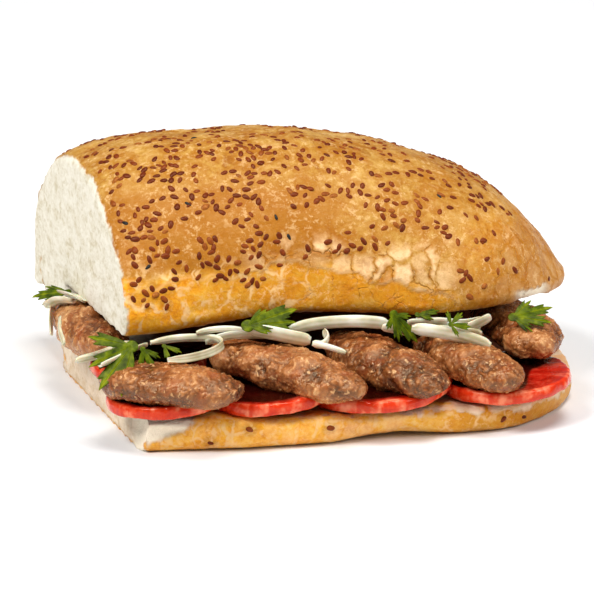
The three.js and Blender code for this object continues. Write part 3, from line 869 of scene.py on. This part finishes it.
def slice_shape(spec):
    """A slice as rings: out along its top face, down the bulged rim and back in along its underside."""
    face_shares = np.linspace(0.02, 0.97, SLICE_RINGS)
    rim_levels = np.linspace(0.9, -0.9, 7)
    rim_shares = 1 + 0.03 * (1 - rim_levels * rim_levels)
    share = np.concatenate([face_shares, rim_shares, face_shares[::-1]])[:, None]
    level = np.concatenate([np.ones(SLICE_RINGS), rim_levels, -np.ones(SLICE_RINGS)])[:, None]
    angle = np.linspace(0, 2 * math.pi, 140, endpoint=False)[None]
    wobble = 1 + 0.02 * np.sin(2 * angle + spec["seed"]) + 0.012 * np.sin(5 * angle + 2 * spec["seed"])
    length, width, thickness = (v / 2 for v in spec["size"])
    grid = np.stack([share * np.cos(angle) * length * wobble, share * np.sin(angle) * width * wobble,
                     level * thickness + 0 * angle], axis=-1)
    points, faces = tube(grid)
    return placed(points, spec["at"], 0, spec.get("pitch", 0)), faces


tomato_finish = Finish("tomato", Roughness=0.16, Specular_IOR_Level=0.5, Specular_Tint=colour(255, 214, 190),
                       Subsurface_Weight=0.08, Subsurface_Scale=0.002)
fibres = tomato_finish.sum_of((tomato_finish.painted("fibre"), 0.14), (tomato_finish.noise(5, 3), 0.86))
flesh = tomato_finish.ramp(fibres, (0.34, 150, 16, 6), (0.52, 176, 28, 14), (0.7, 204, 74, 50))
# The skin's lightest patches are a painted highlight along the rim
skin = tomato_finish.ramp(fibres, (0.34, 198, 32, 8), (0.5, 216, 56, 20), (0.66, 240, 134, 96))
tomato_colour = tomato_finish.blend(tomato_finish.painted("rim"), flesh, skin)
# Painted shadow: the tomato tops behind their lit front strip are painted near black
tomato_colour = tomato_finish.blend(tomato_finish.painted("painted_shade_on_tops"), tomato_colour, colour(26, 4, 2))
tomato_finish.feed("Base Color", tomato_colour)
tomato_finish.bump((tomato_finish.noise(2.4, 3), 0.3))

for number, spec in enumerate(TOMATOES, 1):
    tomato = new_object(f"tomato_slice_{number}", *slice_shape(spec))
    fuse(tomato, TOMATO_VOXEL, 2)
    place = points_of(tomato)
    length, width, _ = (v / 2 for v in spec["size"])
    offset = (place - np.array(spec["at"])) / np.array([length, width, 1])
    share = np.hypot(offset[:, 0], offset[:, 1])
    raise_skin(tomato, 0.18 * grain(place, 4.5, 3, 2) - 0.2)
    # How far each point lies behind the slice's front edge, and how much of that the patties leave in light;
    # the top behind that strip is painted near black, a painted shadow of the patties
    inward = place[:, 1] - spec["at"][1] + width * np.sqrt(np.maximum(0, 1 - offset[:, 0] ** 2))
    open_front = 1.6 + 16 * rising(place[:, 0], 66, 10)
    around = 40 * offset[:, :2] / (share + 0.01)[:, None]
    spokes = np.column_stack([around, 8 * share])
    paint(tomato, "fibre", 0.5 + 0.4 * grain(spokes, 2.6, 8, 2))
    paint(tomato, "rim", rising(share, 0.93, 0.04))
    paint(tomato, "painted_shade_on_tops", 0.96 * rising(inward, open_front, 3))
    wear(tomato, tomato_finish)
    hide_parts(f"tomato_{number}")
    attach(tomato, "root")


# Onion strips

ONIONS = [
    {"path": [(-57, -27, 33.2), (-49, -25, 33.4), (-42, -25, 33.4), (-35, -27, 33.2), (-33, -32, 32.6),
              (-38, -38, 32), (-46, -42, 31.7), (-54, -43, 31.7)], "width": 2.9, "thickness": 1.4},
    {"path": [(-41, -26, 35.3), (-35, -26.5, 36.2), (-29, -26.5, 36), (-22, -27, 34.6)], "width": 2.3},
    {"path": [(-23, -28, 35.8), (-16, -30, 34.8), (-9, -32, 33.4), (-3, -33.5, 32.2)], "width": 6,
     "thickness": 1.3, "lean": 25},
    {"path": [(-2.5, -34, 31.4), (0.5, -35, 31), (2.6, -33.5, 32.4), (2.2, -31, 35)], "width": 3},
    {"path": [(-3.5, -38, 32.4), (1.4, -39, 31.4), (7.5, -41, 29.4)], "width": 2.2},
    {"path": [(-9.5, -27, 34.4), (-2, -27, 35.8), (5, -27.5, 36.4), (14, -27.5, 36.2), (21, -27, 35.2),
              (26, -26, 34)], "width": 4.6, "thickness": 1.5},
    {"path": [(32.5, -27, 34.4), (39, -27.5, 34.4), (46.5, -27, 34)], "width": 3.8, "lean": 40},
    {"path": [(32.5, -33, 34), (41, -35, 32.9), (51, -37, 30.6), (59, -38.5, 27.6)], "width": 4.8,
     "thickness": 1.5},
    {"path": [(52, -28, 30.4), (57, -27.5, 32.2), (62.5, -26, 34)], "width": 6, "lean": 35},
    {"path": [(-83, 37, 30), (-79, 33, 33), (-75, 26, 34.8)], "width": 6.5, "thickness": 1.4, "lean": 65},
    {"path": [(-83, -30, 29.6), (-77, -28, 30), (-70, -24, 30.6), (-63, -20, 31.6)], "width": 3,
     "thickness": 1.4},
    {"path": [(-76, -37.5, 30), (-70, -34, 31), (-64, -30, 32.2), (-58.5, -27.5, 33)], "width": 4.6,
     "lean": 55},
    {"path": [(-81.5, 12, 32.5), (-82.6, 6, 29.5), (-82, 0.5, 26)], "width": 3, "lean": 0},
    {"path": [(23, -29.5, 34.2), (28, -30, 33), (33, -30.5, 31.6)], "width": 3.6, "lean": 25},
]
STRIP_THICKNESS = 1.2
STRIP_LEAN = 10

# Thin shreds of onion that lie between the strips and over the first patty
SHREDS = [
    {"path": [(-38, -26, 31.8), (-28.6, -26, 33.6), (-16, -26, 33), (-3.4, -27, 31.8)], "width": 4.6,
     "lean": 35},
    {"path": [(35.7, -26, 35), (44, -26, 34.2), (52.5, -26, 33), (60, -24.5, 33.4)], "width": 4, "lean": 50},
    {"path": [(39.5, -25, 32.8), (48, -26, 31.6), (59, -26, 30.6)], "width": 5, "lean": 40},
    {"path": [(41, -28, 32), (50, -30, 31), (58, -31.5, 30)], "width": 4, "lean": 30},
    {"path": [(-77.4, 43, 33.4), (-74, 33, 34.8), (-71.6, 23, 35)], "width": 4.5, "lean": 70},
    {"path": [(-80.2, 38, 30.5), (-82, 33, 27), (-82.8, 27, 22)], "width": 3, "lean": 20},
]
SHRED_THICKNESS = 0.8


def curve_through(path, t):
    """Points and directions at shares t of a smooth curve through the path."""
    path = np.array(path, float)
    ends = np.concatenate([[2 * path[0] - path[1]], path, [2 * path[-1] - path[-2]]])
    place = t * (len(path) - 1)
    index = np.minimum(place.astype(int), len(path) - 2)
    s = (place - index)[:, None]
    a, b, c, d = (ends[index + k] for k in range(4))
    square, cube = 2 * a - 5 * b + 4 * c - d, 3 * b - a - 3 * c + d
    point = 0.5 * (2 * b + (c - a) * s + square * s ** 2 + cube * s ** 3)
    slope = 0.5 * ((c - a) + 2 * square * s + 3 * cube * s ** 2)
    return point, slope / np.linalg.norm(slope, axis=1)[:, None]


def strip_shape(spec):
    """A band with a hollow side and rounded edges along its path, and each point's place across it."""
    steps = 14 * (len(spec["path"]) - 1)
    t = np.linspace(0, 1, steps + 1)
    point, ahead = curve_through(spec["path"], t)
    side = np.cross(ahead, [0, 0, 1.0])
    side /= np.linalg.norm(side, axis=1)[:, None]
    lean = math.radians(spec.get("lean", STRIP_LEAN))
    side = side * math.cos(lean) + np.cross(ahead, side) * math.sin(lean)
    up = np.cross(side, ahead)
    taper = np.sqrt(np.maximum(0.3, 1 - np.abs(2 * t - 1) ** 9))
    angle = np.linspace(0, 2 * math.pi, 24, endpoint=False)
    band = power(np.sin(angle), 0.6)
    thickness = spec.get("thickness", STRIP_THICKNESS)
    thick = power(np.cos(angle), 0.35) * (1 - 0.3 * np.abs(band) ** 2) * thickness
    hollow = 0.14 * spec["width"] * (1 - band ** 2)
    across = (thick * 0.42)[None] * mix(1, taper, 0.5)[:, None] + hollow[None]
    high = (band * spec["width"] / 2)[None] * taper[:, None]
    grid = point[:, None] + side[:, None] * across[..., None] + up[:, None] * high[..., None]
    points, faces = tube(grid)
    lines = np.concatenate([np.tile(band, steps + 1), [0, 0]])
    return points, faces, lines


onion_finish = Finish("onion", Roughness=0.25, Specular_IOR_Level=0.5, Subsurface_Weight=0.3,
                      Subsurface_Scale=0.002)
veins = onion_finish.sum_of((onion_finish.math("SINE", onion_finish.painted("across", 9)), 0.06),
                            (onion_finish.noise(9, 3, 0.4), 1.0))
onion_finish.feed("Base Color", onion_finish.ramp(
    veins, (0.3, 176, 168, 128), (0.48, 216, 209, 178), (0.66, 242, 238, 220)))
onion_finish.bump((veins, 0.12))

for number, spec in enumerate(ONIONS, 1):
    points, faces, lines = strip_shape(spec)
    onion = new_object(f"onion_strip_{number}", points, faces)
    paint(onion, "across", lines)
    wear(onion, onion_finish)
    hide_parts(f"onion_{number}")
    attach(onion, "root")

shred_shapes = [strip_shape(spec | {"thickness": SHRED_THICKNESS}) for spec in SHREDS]
shreds = new_object("onion_shreds", *joined([shape[:2] for shape in shred_shapes]))
paint(shreds, "across", np.concatenate([lines for _, _, lines in shred_shapes]))
wear(shreds, onion_finish)
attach(shreds, "root")


# Parsley

LEAVES = [
    {"at": (-64.5, -34, 34.5), "toward": (-0.6, -0.5, -0.62), "face": (-0.25, -0.8, 0.55), "size": 18.5,
     "lobes": [(-76, 0.84), (-36, 0.86), (-6, 1.02), (19, 1)], "seed": 0.4},
    {"at": (-61, -35, 33.6), "toward": (0.35, -0.4, -0.7), "face": (0, -0.8, 0.6), "size": 8,
     "lobes": [(-35, 0.8), (0, 1), (38, 0.85)], "seed": 1.3},
    {"at": (-53, -31, 33), "toward": (0.5, -0.6, -0.4), "face": (0, -0.7, 0.7), "size": 6.5,
     "lobes": [(-30, 0.9), (25, 1)], "seed": 2.6},
    {"at": (-74, 47, 31.5), "toward": (-1, 0.25, -0.08), "face": (-0.1, -0.4, 1), "size": 13,
     "lobes": [(-28, 0.75), (0, 1), (28, 0.8)], "seed": 3.1},
    {"at": (-24, -30, 37.8), "toward": (1, 0, 0.14), "face": (0, -0.75, 0.7), "size": 19,
     "lobes": [(-28, 0.45), (-4, 0.9), (12, 1), (32, 0.5)], "seed": 4.2},
    {"at": (26.5, -32, 39), "toward": (0.5, -0.25, -0.8), "face": (0, -0.9, 0.4), "size": 13,
     "lobes": [(-60, 0.45), (-22, 0.75), (8, 1), (50, 0.5)], "seed": 5.5},
    {"at": (45, -38, 36), "toward": (1, 0, -0.1), "face": (0, -0.8, 0.6), "size": 7.5,
     "lobes": [(-60, 0.7), (-5, 1), (45, 0.9), (100, 0.7)], "seed": 6.8},
    {"at": (36, -28, 37.2), "toward": (1, 0, -0.05), "face": (0, -0.6, 0.8), "size": 8.5,
     "lobes": [(-20, 0.7), (12, 1)], "seed": 7.7},
    {"at": (71, -26, 33.4), "toward": (1, -0.15, 0.12), "face": (0, -0.6, 0.8), "size": 15,
     "lobes": [(-50, 0.6), (-18, 0.9), (12, 1), (42, 0.7)], "seed": 8.9},
]
LEAF_THICKNESS = 0.45
LEAF_RINGS = 16


def leaf_shape(spec):
    """A thin wavy leaf whose lobes end in teeth, and each point's closeness to a lobe's vein."""
    first, last = spec["lobes"][0][0] - 28, spec["lobes"][-1][0] + 28
    share = np.linspace(0, 1, 220, endpoint=False)
    angle = np.where(share < 0.9, mix(first, last, share / 0.9), mix(last, first + 360, (share - 0.9) / 0.1))
    lobe_at, lobe_length = np.array(spec["lobes"], float).T
    off = np.abs(angle[:, None] - lobe_at[None])
    reach = lobe_length[None] * clamp01(1.02 - (off / 22) ** 2.2) ** 0.8
    outline = np.maximum(0.12, reach.max(axis=1))
    nearest = off.min(axis=1)
    teeth = 0.2 * (1 - np.abs((nearest / 11 % 1) * 2 - 1)) * rising(outline, 0.3, 0.3)
    vein = 1 - clamp01(nearest / 12)
    rings = np.concatenate([np.linspace(0.03, 1, LEAF_RINGS), np.linspace(1, 0.03, LEAF_RINGS)])
    level = np.concatenate([np.ones(LEAF_RINGS), -np.ones(LEAF_RINGS)])
    turn = np.radians(angle)[None]
    radius = rings[:, None] * spec["size"] * (outline - teeth)[None]
    wave = 0.05 * radius * np.sin(4 * turn + spec["seed"]) - 0.006 * radius ** 2
    wave = wave - 0.35 * (vein[None] > 0.93) * smooth(radius / 3)
    edge = np.sqrt(np.maximum(0.1, 1 - rings ** 8))[:, None]
    height = wave + (level[:, None] * edge) * LEAF_THICKNESS / 2
    points, faces = tube(np.stack([radius * np.cos(turn), radius * np.sin(turn), height], axis=-1))
    ahead = unit(np.array(spec["toward"], float))
    face = np.array(spec["face"], float)
    face = unit(face - ahead * (face @ ahead))
    basis = np.stack([ahead, np.cross(face, ahead), face])
    veins = np.concatenate([np.tile(vein, len(rings)), [1, 1]])
    return points @ basis + np.array(spec["at"]), faces, veins


leaf_finish = Finish("parsley", Roughness=0.45, Specular_IOR_Level=0.2, Specular_Tint=WARM_SHINE)
leaf_veins = leaf_finish.fit(leaf_finish.painted("vein"), 0.75, 1.0)
leaf_tone = leaf_finish.sum_of((leaf_veins, 0.25), (leaf_finish.noise(3, 3), 0.8))
leaf_finish.feed("Base Color", leaf_finish.ramp(
    leaf_tone, (0.26, 30, 48, 0), (0.42, 70, 88, 0), (0.6, 114, 126, 0), (0.9, 160, 162, 36)))
leaf_finish.bump((leaf_tone, 0.3))

for number, spec in enumerate(LEAVES, 1):
    points, faces, veins = leaf_shape(spec)
    leaf = new_object(f"parsley_leaf_{number}", points, faces)
    paint(leaf, "vein", veins)
    wear(leaf, leaf_finish)
    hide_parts(f"parsley_{number}")
    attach(leaf, "root")


# Floor, lights and camera

FLOOR_REACH = 6
floor_mesh = bpy.data.meshes.new("floor")
corners = [(x * FLOOR_REACH, y * FLOOR_REACH, 0) for x, y in ((-1, -1), (1, -1), (1, 1), (-1, 1))]
floor_mesh.from_pydata(corners, [], [(0, 1, 2, 3)])
floor = bpy.data.objects.new("floor", floor_mesh)
bpy.context.scene.collection.objects.link(floor)
wear(floor, Finish("floor", Base_Color=colour(238, 238, 238), Roughness=0.9, Specular_IOR_Level=0.1))

scene = bpy.context.scene
scene.view_settings.view_transform = "Standard"
world = bpy.data.worlds.new("studio")
scene.world = world
world.use_nodes = True
world.node_tree.nodes["Background"].inputs["Color"].default_value = (1, 1, 1, 1)
world.node_tree.nodes["Background"].inputs["Strength"].default_value = 0.2

LIGHTS_AIM = Vector((0, 0, 0.04))


def softbox(name, azimuth, elevation, distance, size, power_watts):
    """A square light looking at the sandwich, placed by angles as the camera is. Lengths are in metres."""
    light = bpy.data.lights.new(name, "AREA")
    light.shape = "SQUARE"
    light.size = size
    light.energy = power_watts
    lamp = bpy.data.objects.new(name, light)
    scene.collection.objects.link(lamp)
    back = view_back(azimuth, elevation)
    lamp.location = LIGHTS_AIM + back * distance
    lamp.rotation_euler = back.to_track_quat("Z", "Y").to_euler()


softbox("key light", -62, 50, 3.0, 1.0, 68)
softbox("top light", 25, 78, 3.0, 1.2, 56)
softbox("fill light", 56, 36, 3.4, 1.4, 42)

target = Vector(in_row_frame(np.array(CAMERA["target"])))
back = view_back(CAMERA["azimuth"], CAMERA["elevation"])
camera_data = bpy.data.cameras.new("camera")
camera_data.sensor_width = SENSOR
camera_data.lens = CAMERA["scale"] * CAMERA["distance"] * SENSOR / IMAGE_SIZE
camera = bpy.data.objects.new("camera", camera_data)
scene.collection.objects.link(camera)
camera.location = target + back * CAMERA["distance"] * MM
camera.rotation_euler = back.to_track_quat("Z", "Y").to_euler()
scene.camera = camera
